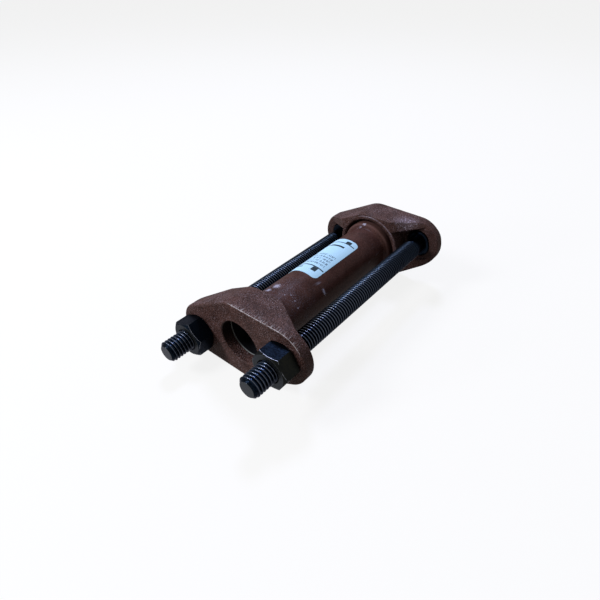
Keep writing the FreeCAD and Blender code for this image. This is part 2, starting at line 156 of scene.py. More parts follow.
def split(tree, vector):
    return addNode(tree, "ShaderNodeSeparateXYZ", {0: vector}).outputs


def mapped(tree, vector, scale=(1, 1, 1), rotation=(0, 0, 0)):
    inputs = {"Vector": vector, "Scale": scale, "Rotation": rotation}
    return addNode(tree, "ShaderNodeMapping", inputs).outputs[0]


def mixColour(tree, share, first, second):
    # a Mix node takes colours in its inputs 6 and 7 and puts one out at its output 2
    return addNode(tree, "ShaderNodeMix", {0: share, 6: first, 7: second}, data_type="RGBA").outputs[2]


def levelVector(tree):
    # object coordinates turned into the level gland frame
    return mapped(tree, addNode(tree, "ShaderNodeTexCoord").outputs["Object"], rotation=(0, roll, 0))


def facingUp(tree):
    # 1 where the surface faces straight up, 0 on a wall and -1 on an under side
    return split(tree, addNode(tree, "ShaderNodeTexCoord").outputs["Normal"])["Z"]


def useGroup(tree, group, inputs):
    return addNode(tree, "ShaderNodeGroup", inputs, node_tree=group).outputs


def finishMaterial(tree, colour, tone, relief, finish):
    # the tone goes into the roughness and the relief into the bump, whose height is in metres
    height, strength = finish["bump"]
    bump = addNode(tree, "ShaderNodeBump", {"Height": relief, "Distance": height, "Strength": strength})
    inputs = {
        "Base Color": colour,
        "Roughness": ramp(tree, tone, finish["roughness"]),
        "Normal": bump.outputs[0],
        **finish["shader"],
    }
    shader = addNode(tree, "ShaderNodeBsdfPrincipled", inputs)
    addNode(tree, "ShaderNodeOutputMaterial", {"Surface": shader.outputs[0]})
    arrange(tree)


# camera and stage
camera = {
    "place": (0.13915, -0.18621, 0.16732),
    "right": (0.79134, 0.61126, 0.01227),
    "up": (-0.38694, 0.48519, 0.78414),
    "lens": 26.31,
    "sensor": 36,
    "shift": (-0.0333, 0.0),
    "clip": (0.005, 20),
}
stage = {
    "floorSize": 6.0,
    "white": (1, 1, 1, 1),
    "floorColour": (0.85, 0.85, 0.85, 1),
    "bounceColour": (0.15, 0.115, 0.075, 1),  # what the floor throws back on to the object
    "whiteShare": 0.85,  # how much of the floor glows to the white rays
    "worldLight": 0.24,
    "lamps": [  # name, place, size, watts, colour
        ("keyLamp", (-0.58, -0.72, 0.82), 0.34, 9.4, (0.92, 0.93, 0.98)),
        ("topLamp", (-0.35, 0.45, 1.05), 0.24, 7.4, (0.78, 0.84, 1.20)),
        ("edgeLamp", (-0.58, -1.02, 0.36), 0.15, 3.4, (0.90, 0.93, 1.0)),
    ],
}


def makeCamera():
    data = bpy.data.cameras.new("photoCamera")
    data.lens = camera["lens"]
    data.sensor_width = camera["sensor"]
    data.sensor_fit = "HORIZONTAL"
    data.shift_x, data.shift_y = camera["shift"]
    data.clip_start, data.clip_end = camera["clip"]
    made = addObject("photoCamera", data)
    rightWay = Vector(camera["right"]).normalized()
    upWay = Vector(camera["up"]).normalized()
    ways = Matrix((rightWay, upWay, rightWay.cross(upWay))).transposed()
    made.matrix_world = Matrix.Translation(camera["place"]) @ ways.to_4x4()
    bpy.context.scene.camera = made


def whiteRays(tree):
    # 1 for the rays of the camera, of gloss and of glass, which all see a white background
    rays = addNode(tree, "ShaderNodeLightPath").outputs
    kinds = ("Is Camera Ray", "Is Glossy Ray", "Is Transmission Ray")
    return sums(tree, "MAXIMUM", *[rays[kind] for kind in kinds])


def makeFloor():
    # mostly glowing white to the white rays, and otherwise plain paper that takes the shadow
    size, low = stage["floorSize"], cadBox[0].z
    mesh = bpy.data.meshes.new("floor")
    corners = [(-size, -size, low), (size, -size, low), (size, size, low), (-size, size, low)]
    mesh.from_pydata(corners, [], [(0, 1, 2, 3)])
    floor = addObject("floor", mesh)
    material, tree = newMaterial("paleFloor")
    seen = whiteRays(tree)
    tint = mixColour(tree, seen, stage["bounceColour"], stage["floorColour"])
    paper = addNode(tree, "ShaderNodeBsdfDiffuse", {"Color": tint}).outputs[0]
    white = addNode(tree, "ShaderNodeEmission", {"Color": stage["white"]}).outputs[0]
    share = sums(tree, "MULTIPLY", seen, stage["whiteShare"])
    both = addNode(tree, "ShaderNodeMixShader", {0: share, 1: paper, 2: white})
    addNode(tree, "ShaderNodeOutputMaterial", {"Surface": both.outputs[0]})
    arrange(tree)
    mesh.materials.append(material)


def makeWorld():
    world = bpy.data.worlds.new("paleWorld")
    bpy.context.scene.world = world
    world.use_nodes = True
    tree = world.node_tree
    tree.nodes.clear()
    inputs = {"Value": whiteRays(tree), "To Min": stage["worldLight"], "To Max": 1.0}
    strength = addNode(tree, "ShaderNodeMapRange", inputs).outputs[0]
    sky = addNode(tree, "ShaderNodeBackground", {"Color": stage["white"], "Strength": strength})
    addNode(tree, "ShaderNodeOutputWorld", {"Surface": sky.outputs[0]})
    arrange(tree)


def makeLamps():
    # each lamp faces the middle of the object
    for name, place, size, watts, colour in stage["lamps"]:
        data = bpy.data.lights.new(name, "AREA")
        data.shape, data.size, data.energy = "DISK", size, watts
        data.color = colour
        lamp = addObject(name, data)
        lamp.location = place
        lamp.rotation_mode = "QUATERNION"
        lamp.rotation_quaternion = (-Vector(place)).to_track_quat("-Z", "Y")


makeCamera()
makeFloor()
makeWorld()
makeLamps()
bpy.context.scene.view_settings.view_transform = "Standard"
print("stage and camera set")


# shared effects, each a node group built once

# in the values here and below, a noise is its scale, detail and roughness, and a step is where it
# begins and ends, and what it goes from and to unless that is 0 and 1
castLook = {
    "sand": (3.0, 0.62),  # each material gives the scale of its own sand and lumps
    "pitSmoothness": 0.4,
    "pitShare": 0.5,
    "lumps": (2.0, 0.5),
    "blotches": (130.0, 4.0, 0.6),
    "blotchShare": 0.45,
    "mottle": (1250.0, 2.0, 0.6),
    "mottleShare": 0.55,
    "toneStep": (0.38, 0.62),
    "specks": (2300.0, 2.0, 0.55),
    "speckStep": (0.54, 0.66),
    "gathering": (95.0, 2.0, 0.5),
    "gatheringStep": (0.36, 0.62, 0.45, 1.0),
}
glandOutline = {
    "side": 25.19,  # mm from the pipe axis to a slanted side
    "lugPlace": 0.0305,
    "lugRadius": 17.5,  # mm
    "lugStarts": 0.0349,
}
scuffLook = {
    "turn": (0.5, 0.3, 0.9),
    "stretch": (1.0, 0.12, 1.0),
    "lines": (2.0, 0.6),  # each material gives the scale of its own
    "lineStep": (0.62, 0.72),
    "patches": (75.0, 2.0, 0.5),
    "patchStep": (0.55, 0.7),
}
spotLook = {
    "ragged": (1500.0, 3.0, 0.7),
    "raggedness": 3.4,
    "raggedShift": -1.6,
    "edge": (1.15, 0.45),
}


def openGroup(name, vectors, numbers):
    # a new node group that takes these vectors and numbers, by name
    group = bpy.data.node_groups.new(name, "ShaderNodeTree")
    for title in vectors:
        group.interface.new_socket(title, in_out="INPUT", socket_type="NodeSocketVector")
    for title in numbers:
        group.interface.new_socket(title, in_out="INPUT", socket_type="NodeSocketFloat")
    return group, addNode(group, "NodeGroupInput").outputs


def closeGroup(group, results):
    for title in results:
        group.interface.new_socket(title, in_out="OUTPUT", socket_type="NodeSocketFloat")
    addNode(group, "NodeGroupOutput", results)
    arrange(group)
    return group


def buildGrain():
    # lumps, sand grain and round pits added up as one height, with a blotchy tone and light specks
    group, given = openGroup("castGrain", ["Vector"], ["Grain Scale", "Lump Scale", "Lump Share"])
    vector, scale = given["Vector"], given["Grain Scale"]
    sand = noise(group, vector, scale, *castLook["sand"])
    inputs = {"Vector": vector, "Scale": scale, "Smoothness": castLook["pitSmoothness"]}
    pits = addNode(group, "ShaderNodeTexVoronoi", inputs, feature="SMOOTH_F1").outputs["Distance"]
    pits = sums(group, "MULTIPLY", pits, castLook["pitShare"])
    lumps = noise(group, vector, given["Lump Scale"], *castLook["lumps"])
    lumps = sums(group, "MULTIPLY", lumps, given["Lump Share"])
    blotches = noise(group, vector, *castLook["blotches"])
    blotches = sums(group, "MULTIPLY", blotches, castLook["blotchShare"])
    mottle = noise(group, vector, *castLook["mottle"])
    mottle = sums(group, "MULTIPLY", mottle, castLook["mottleShare"])
    specks = noise(group, vector, *castLook["specks"])
    gathering = noise(group, vector, *castLook["gathering"])
    return closeGroup(group, {
        "Height": sums(group, "ADD", sand, pits, lumps),
        "Tone": ramp(group, sums(group, "ADD", blotches, mottle), castLook["toneStep"]),
        "Specks": product(group, (specks, castLook["speckStep"]), (gathering, castLook["gatheringStep"])),
    })


def buildLozengeRim():
    # how far a point lies inside the lozenge outline of a gland, in millimetres: by the slanted
    # sides, side less |x| sin(roll) less |z| cos(roll), and by a round lug, its radius less the
    # distance to its middle
    group, given = openGroup("lozengeRim", ["Vector"], [])
    parts = split(group, given["Vector"])
    across, upright = [sums(group, "ABSOLUTE", parts[way]) for way in "XZ"]
    side = sums(group, "ADD", sums(group, "MULTIPLY", across, math.sin(roll) * 1000),
                sums(group, "MULTIPLY", upright, math.cos(roll) * 1000))
    fromSide = sums(group, "SUBTRACT", glandOutline["side"], side)
    fromLug = reach(group, sums(group, "SUBTRACT", across, glandOutline["lugPlace"]), upright)
    fromLug = sums(group, "SUBTRACT", glandOutline["lugRadius"], sums(group, "MULTIPLY", fromLug, 1000))
    onLug = sums(group, "GREATER_THAN", across, glandOutline["lugStarts"])
    pick = addNode(group, "ShaderNodeMix", {0: onLug, 2: fromSide, 3: fromLug}, data_type="FLOAT")
    return closeGroup(group, {"Inside": pick.outputs[0]})


def buildScuffs():
    # thin scratches, a stretched noise cut to its peaks and kept only in patches
    group, given = openGroup("scuffs", ["Vector"], ["Scale", "Amount"])
    stretched = mapped(group, given["Vector"], scuffLook["stretch"], scuffLook["turn"])
    lines = noise(group, stretched, given["Scale"], *scuffLook["lines"])
    patches = noise(group, given["Vector"], *scuffLook["patches"])
    kept = product(group, (lines, scuffLook["lineStep"]), (patches, scuffLook["patchStep"]))
    return closeGroup(group, {"Mask": sums(group, "MULTIPLY", kept, given["Amount"])})


def buildSpot():
    # a ragged worn spot: 1 near its place and 0 beyond its half sizes, given as their inverses
    group, given = openGroup("wornSpot", ["Vector", "Place", "Stretch"], [])
    inputs = {0: given["Vector"], 1: given["Place"]}
    away = addNode(group, "ShaderNodeVectorMath", inputs, operation="SUBTRACT").outputs[0]
    inputs = {0: away, 1: given["Stretch"]}
    scaled = addNode(group, "ShaderNodeVectorMath", inputs, operation="MULTIPLY").outputs[0]
    far = addNode(group, "ShaderNodeVectorMath", {0: scaled}, operation="LENGTH").outputs["Value"]
    inputs = {
        0: noise(group, given["Vector"], *spotLook["ragged"]),
        1: spotLook["raggedness"],
        2: spotLook["raggedShift"],
    }
    ragged = addNode(group, "ShaderNodeMath", inputs, operation="MULTIPLY_ADD").outputs[0]
    return closeGroup(group, {"Mask": ramp(group, sums(group, "ADD", far, ragged), spotLook["edge"])})


castGrain = buildGrain()
lozengeRim = buildLozengeRim()
scuffMarks = buildScuffs()
wornSpot = buildSpot()


def wornAt(tree, vector, spot):
    # a spot is its place in the level frame and its half sizes, in millimetres
    place, half = spot
    return useGroup(tree, wornSpot, {
        "Vector": vector,
        "Place": [value / 1000 for value in place],
        "Stretch": [1000 / value for value in half],
    })["Mask"]


def dress(node, material):
    mesh = nodes[node].data
    mesh.materials.clear()
    mesh.materials.append(material)


print("shared effects built")


# glands: brown shop paint over a grainy casting, the near one worn bright along its front edge
glandFinish = {
    "outerFace": 0.075,  # from the middle, along the pipe
    "paint": (0.094, 0.048, 0.041, 1),
    "darkPaint": (0.033, 0.015, 0.012, 1),
    "dustAndGlints": (0.280, 0.215, 0.235, 1),
    "dustAndGlintsUp": (0.1, 0.8, 0.72, 1.0),  # dust specks with painted glints, most on what faces up
    # painted shade for the bolt channels and the upper wall of the pipe hole
    "paintedShade": (0.012, 0.007, 0.006, 1),
    "channelAcross": (0.0235, 0.0250),
    "channelUpright": (0.0112, 0.0096),
    "channelDepth": (6.6, 7.4, 0.0, 0.65),  # mm behind the outer face
    "holeWall": (0.0139, 0.0137),
    "holeTop": (-0.009, 0.001, 0.0, 0.85),
    "grain": {"Grain Scale": 1150.0, "Lump Scale": 150.0, "Lump Share": 1.0},
    "roughness": (0.0, 1.0, 0.58, 0.44),
    "bump": (0.0010, 1.0),
    "shader": {"Specular IOR Level": 0.0, "Coat Weight": 0.14, "Coat Roughness": 0.45},
}
nearWear = {
    "colour": (0.58, 0.54, 0.56, 1),
    "streakWidth": 0.17,  # mm
    "shaking": (420.0, 3.0, 0.7),
    "shakingStep": (0.35, 0.65, 0.35, 1.9),
    "streakInside": (0.75, 0.45),  # mm inside the outline
    "streakShare": 0.70,
    "markStretch": (1.0, 0.10, 0.25),
    "marks": (1500.0, 1.0, 0.4),
    "markStep": (0.56, 0.63),
    "markLength": (4.2, 0.4),  # mm behind the outer face
    "markInside": (0.9, 0.5),
    "markShare": 0.40,
    "fromPeak": (-0.002, 0.002),
    "toRightLug": (0.049, 0.043),
    "onTop": (0.004, 0.007),
}
# far gland: a painted sheen on the slope by a channel and a painted highlight on the cup rim
farPaintedLight = {
    "colour": (0.40, 0.34, 0.42, 1),
    "sheenPatch": ((30.0, 62.0, 18.0), (10.0, 7.0, 8.0)),  # place in the level frame and half sizes, mm
    "dots": (900.0, 2.0, 0.5),
    "dotStep": (0.54, 0.64, 0.20, 0.95),
    "rimRadius": 0.0230,
    "rimWidth": (0.00045, 0.00022),
    "rimAlong": (0.0558, 0.0552),
    "breaks": (330.0, 3.0, 0.7),
    "breakStep": (0.40, 0.60, 0.06, 0.55),
    "rimRight": (-0.006, 0.003),
    "rimTop": (0.004, 0.014, 0.25, 1.0),
}


def paintedShadeMask(tree, parts, depth):
    # painted shade: darker colour in the bolt channels, behind the plate and between the side walls,
    # and on the upper half of the pipe hole's wall, where shadow falls
    across, upright = [sums(tree, "ABSOLUTE", parts[way]) for way in "XZ"]
    channel = product(tree, (across, glandFinish["channelAcross"]),
                      (upright, glandFinish["channelUpright"]), (depth, glandFinish["channelDepth"]))
    hole = product(tree, (reach(tree, across, upright), glandFinish["holeWall"]),
                   (parts["Z"], glandFinish["holeTop"]))
    return sums(tree, "MAXIMUM", channel, hole)


def streakMask(tree, vector, parts, depth):
    # the streak runs where the round edge is as deep as it is far inside the outline
    inside = useGroup(tree, lozengeRim, {"Vector": vector})["Inside"]
    gap = sums(tree, "ABSOLUTE", sums(tree, "SUBTRACT", inside, depth))
    wide = ramp(tree, noise(tree, vector, *nearWear["shaking"]), nearWear["shakingStep"])
    wide = sums(tree, "MULTIPLY", wide, nearWear["streakWidth"])
    streak = sums(tree, "MULTIPLY", sums(tree, "LESS_THAN", gap, wide),
                  ramp(tree, inside, nearWear["streakInside"]), nearWear["streakShare"])
    # short marks: noise that is fine along the slope and long across it, cut to its peaks
    marks = noise(tree, mapped(tree, vector, nearWear["markStretch"]), *nearWear["marks"])
    marks = product(tree, (marks, nearWear["markStep"]), (depth, nearWear["markLength"]),
                    (inside, nearWear["markInside"]))
    marks = sums(tree, "MULTIPLY", marks, nearWear["markShare"])
    span = product(tree, (parts["X"], nearWear["fromPeak"]), (parts["X"], nearWear["toRightLug"]),
                   (parts["Z"], nearWear["onTop"]))
    return sums(tree, "MULTIPLY", sums(tree, "MAXIMUM", streak, marks), span)


def paintedSheenMask(tree, vector):
    # painted sheen: the slope between the hub and a channel is made lighter in dots
    dots = ramp(tree, noise(tree, vector, *farPaintedLight["dots"]), farPaintedLight["dotStep"])
    return sums(tree, "MULTIPLY", wornAt(tree, vector, farPaintedLight["sheenPatch"]), dots)


def rimHighlightMask(tree, vector, parts):
    # painted highlight: a thin broken bright line on the outer bevel of the cup rim, on the side away from
    # the floor
    away = sums(tree, "SUBTRACT", reach(tree, parts["X"], parts["Z"]), farPaintedLight["rimRadius"])
    return product(tree, (sums(tree, "ABSOLUTE", away), farPaintedLight["rimWidth"]),
                   (parts["Y"], farPaintedLight["rimAlong"]),
                   (noise(tree, vector, *farPaintedLight["breaks"]), farPaintedLight["breakStep"]),
                   (parts["X"], farPaintedLight["rimRight"]), (parts["Z"], farPaintedLight["rimTop"]))


def makeGlandMaterial(name, side):
    # side is -1 for the near gland and 1 for the far one
    material, tree = newMaterial(name)
    vector = levelVector(tree)
    parts = split(tree, vector)
    grain = useGroup(tree, castGrain, {"Vector": vector, **glandFinish["grain"]})
    colour = mixColour(tree, grain["Tone"], glandFinish["darkPaint"], glandFinish["paint"])
    # painted glints: the dust specks are stronger where the surface faces up toward the light
    dustAndGlintsUp = ramp(tree, facingUp(tree), glandFinish["dustAndGlintsUp"])
    colour = mixColour(tree, sums(tree, "MULTIPLY", grain["Specks"], dustAndGlintsUp), colour, glandFinish["dustAndGlints"])
    # depth behind the outer face, in millimetres
    depth = sums(tree, "SUBTRACT", parts["Y"], side * glandFinish["outerFace"])
    depth = sums(tree, "MULTIPLY", depth, -1000 * side)
    # painted shade darkens the channels and the upper hole wall
    colour = mixColour(tree, paintedShadeMask(tree, parts, depth), colour, glandFinish["paintedShade"])
    if side < 0:
        colour = mixColour(tree, streakMask(tree, vector, parts, depth), colour, nearWear["colour"])
    else:
        # painted sheen and painted highlight on the far gland
        for mask in (paintedSheenMask(tree, vector), rimHighlightMask(tree, vector, parts)):
            colour = mixColour(tree, mask, colour, farPaintedLight["colour"])
    finishMaterial(tree, colour, grain["Tone"], grain["Height"], glandFinish)
    return material


dress("near_gland", makeGlandMaterial("nearGlandPaint", -1))
dress("far_gland", makeGlandMaterial("farGlandPaint", 1))
print("glands painted")


# middle ring: smoother brown paint with silvery scuffs
ringFinish = {
    "paint": (0.068, 0.029, 0.023, 1),
    "darkPaint": (0.034, 0.013, 0.010, 1),
    "paintedHighlight": (0.120, 0.062, 0.055, 1),
    "swaged": (0.0510, 0.0519, 0.0, 0.55),  # painted highlight: the paint is lighter on the swaged ends
    "scuffAndHighlight": (0.35, 0.34, 0.43, 1),
    "scratches": {"Scale": 500.0, "Amount": 0.4},
    "specked": (-0.020, -0.040, 0.06, 0.48),  # fine specks gather near the near end
    "spots": [  # place in the level frame and half sizes, mm
        ((-0.2, -38.6, 16.0), (2.6, 2.4, 2.0)),
        ((-1.9, -43.9, 16.0), (2.1, 1.6, 1.6)),
        ((15.7, -17.2, 3.6), (1.6, 1.2, 2.6)),
        ((8.6, -41.8, 13.6), (0.5, 0.5, 0.5)),
        ((10.3, -38.9, 12.3), (0.6, 0.5, 0.5)),
        ((13.1, -39.5, 9.3), (0.5, 0.5, 0.7)),
        ((15.1, -40.4, 5.5), (0.5, 0.7, 0.8)),
        # this last spot is a painted highlight on the far swaged cone
        ((1.6, 52.3, 17.9), (1.7, 1.1, 1.6)),
    ],
    "grain": {"Grain Scale": 1000.0, "Lump Scale": 140.0, "Lump Share": 1.6},
    "roughness": (0.0, 1.0, 0.46, 0.36),
    "bump": (0.00018, 0.7),
    "shader": {"Specular IOR Level": 0.0, "Coat Weight": 0.15, "Coat Roughness": 0.38},
}


def makeRingMaterial():
    material, tree = newMaterial("ringPaint")
    vector = levelVector(tree)
    along = split(tree, vector)["Y"]
    grain = useGroup(tree, castGrain, {"Vector": vector, **ringFinish["grain"]})
    scratches = useGroup(tree, scuffMarks, {"Vector": vector, **ringFinish["scratches"]})["Mask"]
    specks = sums(tree, "MULTIPLY", grain["Specks"], ramp(tree, along, ringFinish["specked"]))
    spots = [wornAt(tree, vector, spot) for spot in ringFinish["spots"]]
    marks = sums(tree, "MAXIMUM", scratches, specks, *spots)
    swaged = ramp(tree, sums(tree, "ABSOLUTE", along), ringFinish["swaged"])
    colour = mixColour(tree, grain["Tone"], ringFinish["darkPaint"], ringFinish["paint"])
    # painted highlight band on the swaged ends
    colour = mixColour(tree, swaged, colour, ringFinish["paintedHighlight"])
    # scuffs and specks, and one painted highlight spot
    colour = mixColour(tree, marks, colour, ringFinish["scuffAndHighlight"])
    finishMaterial(tree, colour, grain["Tone"], grain["Height"], ringFinish)
    return material


dress("middle_ring", makeRingMaterial())
print("middle ring painted")


# gaskets: black moulded rubber
rubberFinish = {
    "low": (0.0030, 0.0032, 0.0042, 1),
    "high": (0.0070, 0.0072, 0.0090, 1),
    "lip": (0.17, 0.18, 0.18, 1),
    "lipStep": (0.0672, 0.0675, 0.0, 0.8),  # painted highlight on the lip at the pipe hole
    "grain": {"Grain Scale": 1500.0, "Lump Scale": 200.0, "Lump Share": 0.6},
    "roughness": (0.0, 1.0, 0.42, 0.55),
    "bump": (0.00008, 0.5),
    "shader": {"Specular IOR Level": 0.12},
}


def makeRubber():
    material, tree = newMaterial("gasketRubber")
    place = addNode(tree, "ShaderNodeTexCoord").outputs["Object"]
    grain = useGroup(tree, castGrain, {"Vector": place, **rubberFinish["grain"]})
    lip = ramp(tree, sums(tree, "ABSOLUTE", split(tree, place)["Y"]), rubberFinish["lipStep"])
    colour = mixColour(tree, grain["Tone"], rubberFinish["low"], rubberFinish["high"])
    # painted highlight on the lip
    colour = mixColour(tree, lip, colour, rubberFinish["lip"])
    finishMaterial(tree, colour, grain["Tone"], grain["Height"], rubberFinish)
    return material


rubber = makeRubber()
dress("near_gasket", rubber)
dress("far_gasket", rubber)
print("gaskets done")


# bolts and nuts: black oiled steel, with a painted bluish sheen and highlights on the threads, grey where
# it is bare
bolt = {
    "offset": 0.0335,  # from the pipe axis to the bolt's
    "headSeat": 0.075,
    "tip": -0.1004,
    "threadEnd": 0.0572,
    "pitch": 0.0254 / 13,
    "crest": 0.00635,
    "root": 0.00525,
    "crestShare": 0.13,  # how much of the way from crest to root is flat
    "flankShare": 0.70,
    "waveShare": 0.35,  # how much of the drop is a wave, the rest is straight
    "shank": 0.0061,
    "runOut": 0.0008,
    "fadeTurns": 0.9,
    "neckHalf": (0.0077, 0.0092),
    "neckLength": 0.0086,
    "neckBevel": 0.0009,
    "head": (0.013, 0.009, 0.0022),  # radius, height, and height of the rim
    "headEdge": (0.0001, 0.0002),  # how far the rim is cut at the dome and at the seat
    "domeRows": 14,
    "domeStart": 0.02,
    "tipBevel": 0.0017,
    "tipSlope": 1.05,
    "around": 64,
    "perTurn": 14,
    "sharp": 32,  # degrees
}
steelFinish = {
    "black": (0.0016, 0.0024, 0.0045, 1),
    "blue": (0.0038, 0.0068, 0.0116, 1),
    "bareDepth": 0.00012,
    "grain": {"Grain Scale": 1600.0, "Lump Scale": 260.0, "Lump Share": 0.8},
    # the tint is how bright the steel gets where it is seen at a low angle
    "shader": {"Metallic": 1.0, "Specular Tint": (0.62, 0.62, 0.66, 1)},
}
boltFinish = {
    "end": bolt["tip"],
    "bare": (0.040, 0.043, 0.043, 1),
    # crests rubbed bright, with a painted highlight where they face up
    "crest": (0.056, 0.062, 0.078, 1),
    "crestStep": (bolt["crest"] - 0.00032, bolt["crest"] + 0.00002),
    "crestHighlightUp": (-0.2, 0.6, 0.45, 1.0),
    "sheen": (0.0070, 0.0150, 0.0320, 1),  # painted sheen on the threads' upper side
    "sheenUp": (0.0, 0.7),
    "sheenStep": (bolt["tip"] + 0.0012, bolt["tip"] + 0.0022),
    "threadStep": (bolt["threadEnd"] + 0.001, bolt["threadEnd"] - 0.002),
    "duller": (0.050, -0.03, 0.25, 1.0),  # the painted sheen and crest highlight fade toward the head
    "roughness": (0.0, 1.0, 0.30, 0.17),
    "bump": (0.00008, 0.6),
}
nutFinish = {
    "end": -0.08614,
    "bare": (0.030, 0.033, 0.035, 1),
    "sideTint": (0.0092, 0.0096, 0.0078, 1),  # a lighter olive tint on the flats that don't face up, most on the right nut
    "sideTintDown": (0.92, 0.75),
    "sideTintRight": (-0.02, 0.02),
    "sideTintTone": (0.2, 0.8, 0.7, 1.0),
    # painted highlight along the line where the flats meet the chamfer
    "edge": (0.20, 0.21, 0.24, 1),
    "edgeBack": (0.00034, 0.00020),
    "edgeFront": (0.00001, 0.00005),
    "breaks": (260.0, 2.0, 0.6),
    "breakStep": (0.36, 0.60),
    "chamferRadius": 0.00982,
    "chamferSlope": 0.577,  # the tangent of 30 degrees
    "roughness": (0.0, 1.0, 0.51, 0.38),
    "bump": (0.00003, 0.6),
}


def rubThread(tree, colour, along, far, up):
    # crests are rubbed bright with a painted highlight where they face up, and the upper side gets a
    # painted bluish sheen, both only on the thread
    onThread = product(tree, (along, boltFinish["threadStep"]), (along, boltFinish["duller"]))
    sheen = product(tree, (up, boltFinish["sheenUp"]), (along, boltFinish["sheenStep"]))
    colour = mixColour(tree, sums(tree, "MULTIPLY", sheen, onThread), colour, boltFinish["sheen"])
    paintedHighlight = product(tree, (far, boltFinish["crestStep"]), (up, boltFinish["crestHighlightUp"]))
    return mixColour(tree, sums(tree, "MULTIPLY", paintedHighlight, onThread), colour, boltFinish["crest"])


def rubNut(tree, colour, vector, parts, far, up, tone):
    sideTint = product(tree, (up, nutFinish["sideTintDown"]), (parts["X"], nutFinish["sideTintRight"]),
                   (tone, nutFinish["sideTintTone"]))
    colour = mixColour(tree, sideTint, colour, nutFinish["sideTint"])
    # the turned chamfer rises from its circle by its slope, and a painted highlight runs in a thin broken
    # line where the flats meet it
    rise = sums(tree, "SUBTRACT", far, nutFinish["chamferRadius"])
    rise = sums(tree, "MULTIPLY", rise, nutFinish["chamferSlope"])
    behind = sums(tree, "SUBTRACT", parts["Y"], nutFinish["end"], rise)
    edge = product(tree, (behind, nutFinish["edgeBack"]), (behind, nutFinish["edgeFront"]),
                   (noise(tree, vector, *nutFinish["breaks"]), nutFinish["breakStep"]))
    return mixColour(tree, edge, colour, nutFinish["edge"])


def makeSteel(name, own, threaded):
    # the finish says at which end, along the pipe, a cut or bearing face is bare grey
    finish = {**steelFinish, **own}
    material, tree = newMaterial(name)
    vector = levelVector(tree)
    parts = split(tree, vector)
    grain = useGroup(tree, castGrain, {"Vector": vector, **finish["grain"]})
    colour = mixColour(tree, grain["Tone"], finish["black"], finish["blue"])
    # how far a point lies from the axis of its own bolt, and how much it faces up
    across = sums(tree, "SUBTRACT", sums(tree, "ABSOLUTE", parts["X"]), bolt["offset"])
    far = reach(tree, across, parts["Z"])
    up = facingUp(tree)
    if threaded:
        colour = rubThread(tree, colour, parts["Y"], far, up)
    else:
        colour = rubNut(tree, colour, vector, parts, far, up, grain["Tone"])
    cut = ramp(tree, parts["Y"], (finish["end"] + finish["bareDepth"], finish["end"]))
    colour = mixColour(tree, cut, colour, finish["bare"])
    finishMaterial(tree, colour, grain["Tone"], grain["Height"], finish)
    return material


def ovalRadius(angle, half, rise):
    # upright oval as two half circles of radius half at heights rise and -rise, with straight sides:
    # half over the cosine on a side, and rise times the sine plus the root of
    # (half squared - (rise times the cosine) squared) on a half circle
    c, s = np.abs(np.cos(angle)), np.abs(np.sin(angle))
    tiny = 1e-9  # instead of 0, to divide by
    onSide = half / np.maximum(c, tiny)
    onRound = rise * s + np.sqrt(np.maximum(half ** 2 - (rise * c) ** 2, 0))
    return np.where(onSide * s <= rise, onSide, onRound)


def threadRadius(phase):
    # radius at a share of a turn: flat on the crest and at the root, and down a flank between them,
    # part of the drop in proportion to the way and part as half a cosine wave, for softer corners
    away = np.abs((phase % 1.0) - 0.5) * 2  # 0 at the crest, 1 at the root
    flank = np.clip((away - bolt["crestShare"]) / bolt["flankShare"], 0, 1)
    drop = bolt["root"] - bolt["crest"]
    wave = 0.5 - 0.5 * np.cos(math.pi * flank)
    return bolt["crest"] + drop * wave * bolt["waveShare"] + drop * flank * (1 - bolt["waveShare"])


def headRows(angles):
    # dome, oval neck and shank as rows: distance from the seat, and radius at each angle
    flat = np.ones_like(angles)
    radius, height, rim = bolt["head"]
    rise = height - rim
    # the dome is part of a sphere of radius (head radius squared + rise squared) over twice the
    # rise, so a row of radius r lies at the root of (that radius squared - r squared) on it
    sphere = (radius ** 2 + rise ** 2) / (2 * rise)
    rows = []
    for share in np.linspace(bolt["domeStart"], 1, bolt["domeRows"]):
        r = radius * math.sin(share * math.pi / 2)
        rows.append((-rim - (math.sqrt(sphere ** 2 - r ** 2) - (sphere - rise)), r * flat))
    byDome, bySeat = bolt["headEdge"]
    rows += [(-rim + byDome, radius * flat), (-bySeat, radius * flat), (0.0, (radius - bySeat) * flat)]
    half, tall = bolt["neckHalf"]
    neck = ovalRadius(angles, half, tall - half)
    bevelled = ovalRadius(angles, half - bolt["neckBevel"], tall - half)
    neckEnd = bolt["neckLength"]
    rows += [(0.0, neck), (neckEnd - bolt["neckBevel"], neck), (neckEnd, bevelled)]
    threadStart = bolt["headSeat"] - bolt["threadEnd"]
    return rows + [(neckEnd, bolt["shank"] * flat), (threadStart - bolt["runOut"], bolt["shank"] * flat)]


def threadRows(angles):
    # a right-hand helix: the phase is the distance over the pitch less the angle over a full turn;
    # the thread fades in from the shank and ends under the bevel of the tip
    start = bolt["headSeat"] - bolt["threadEnd"]
    full = bolt["headSeat"] - bolt["tip"]
    count = int(round((full - start) / bolt["pitch"] * bolt["perTurn"]))
    along = np.linspace(start, full, count + 1)
    phase = along[:, None] / bolt["pitch"] - angles[None, :] / (2 * math.pi)
    fadeIn = np.clip((along - start) / (bolt["fadeTurns"] * bolt["pitch"]), 0, 1)[:, None]
    thread = bolt["shank"] + (threadRadius(phase) - bolt["shank"]) * fadeIn
    bevel = bolt["crest"] - np.clip(along - (full - bolt["tipBevel"]), 0, None) * bolt["tipSlope"]
    return along, np.minimum(thread, bevel[:, None])


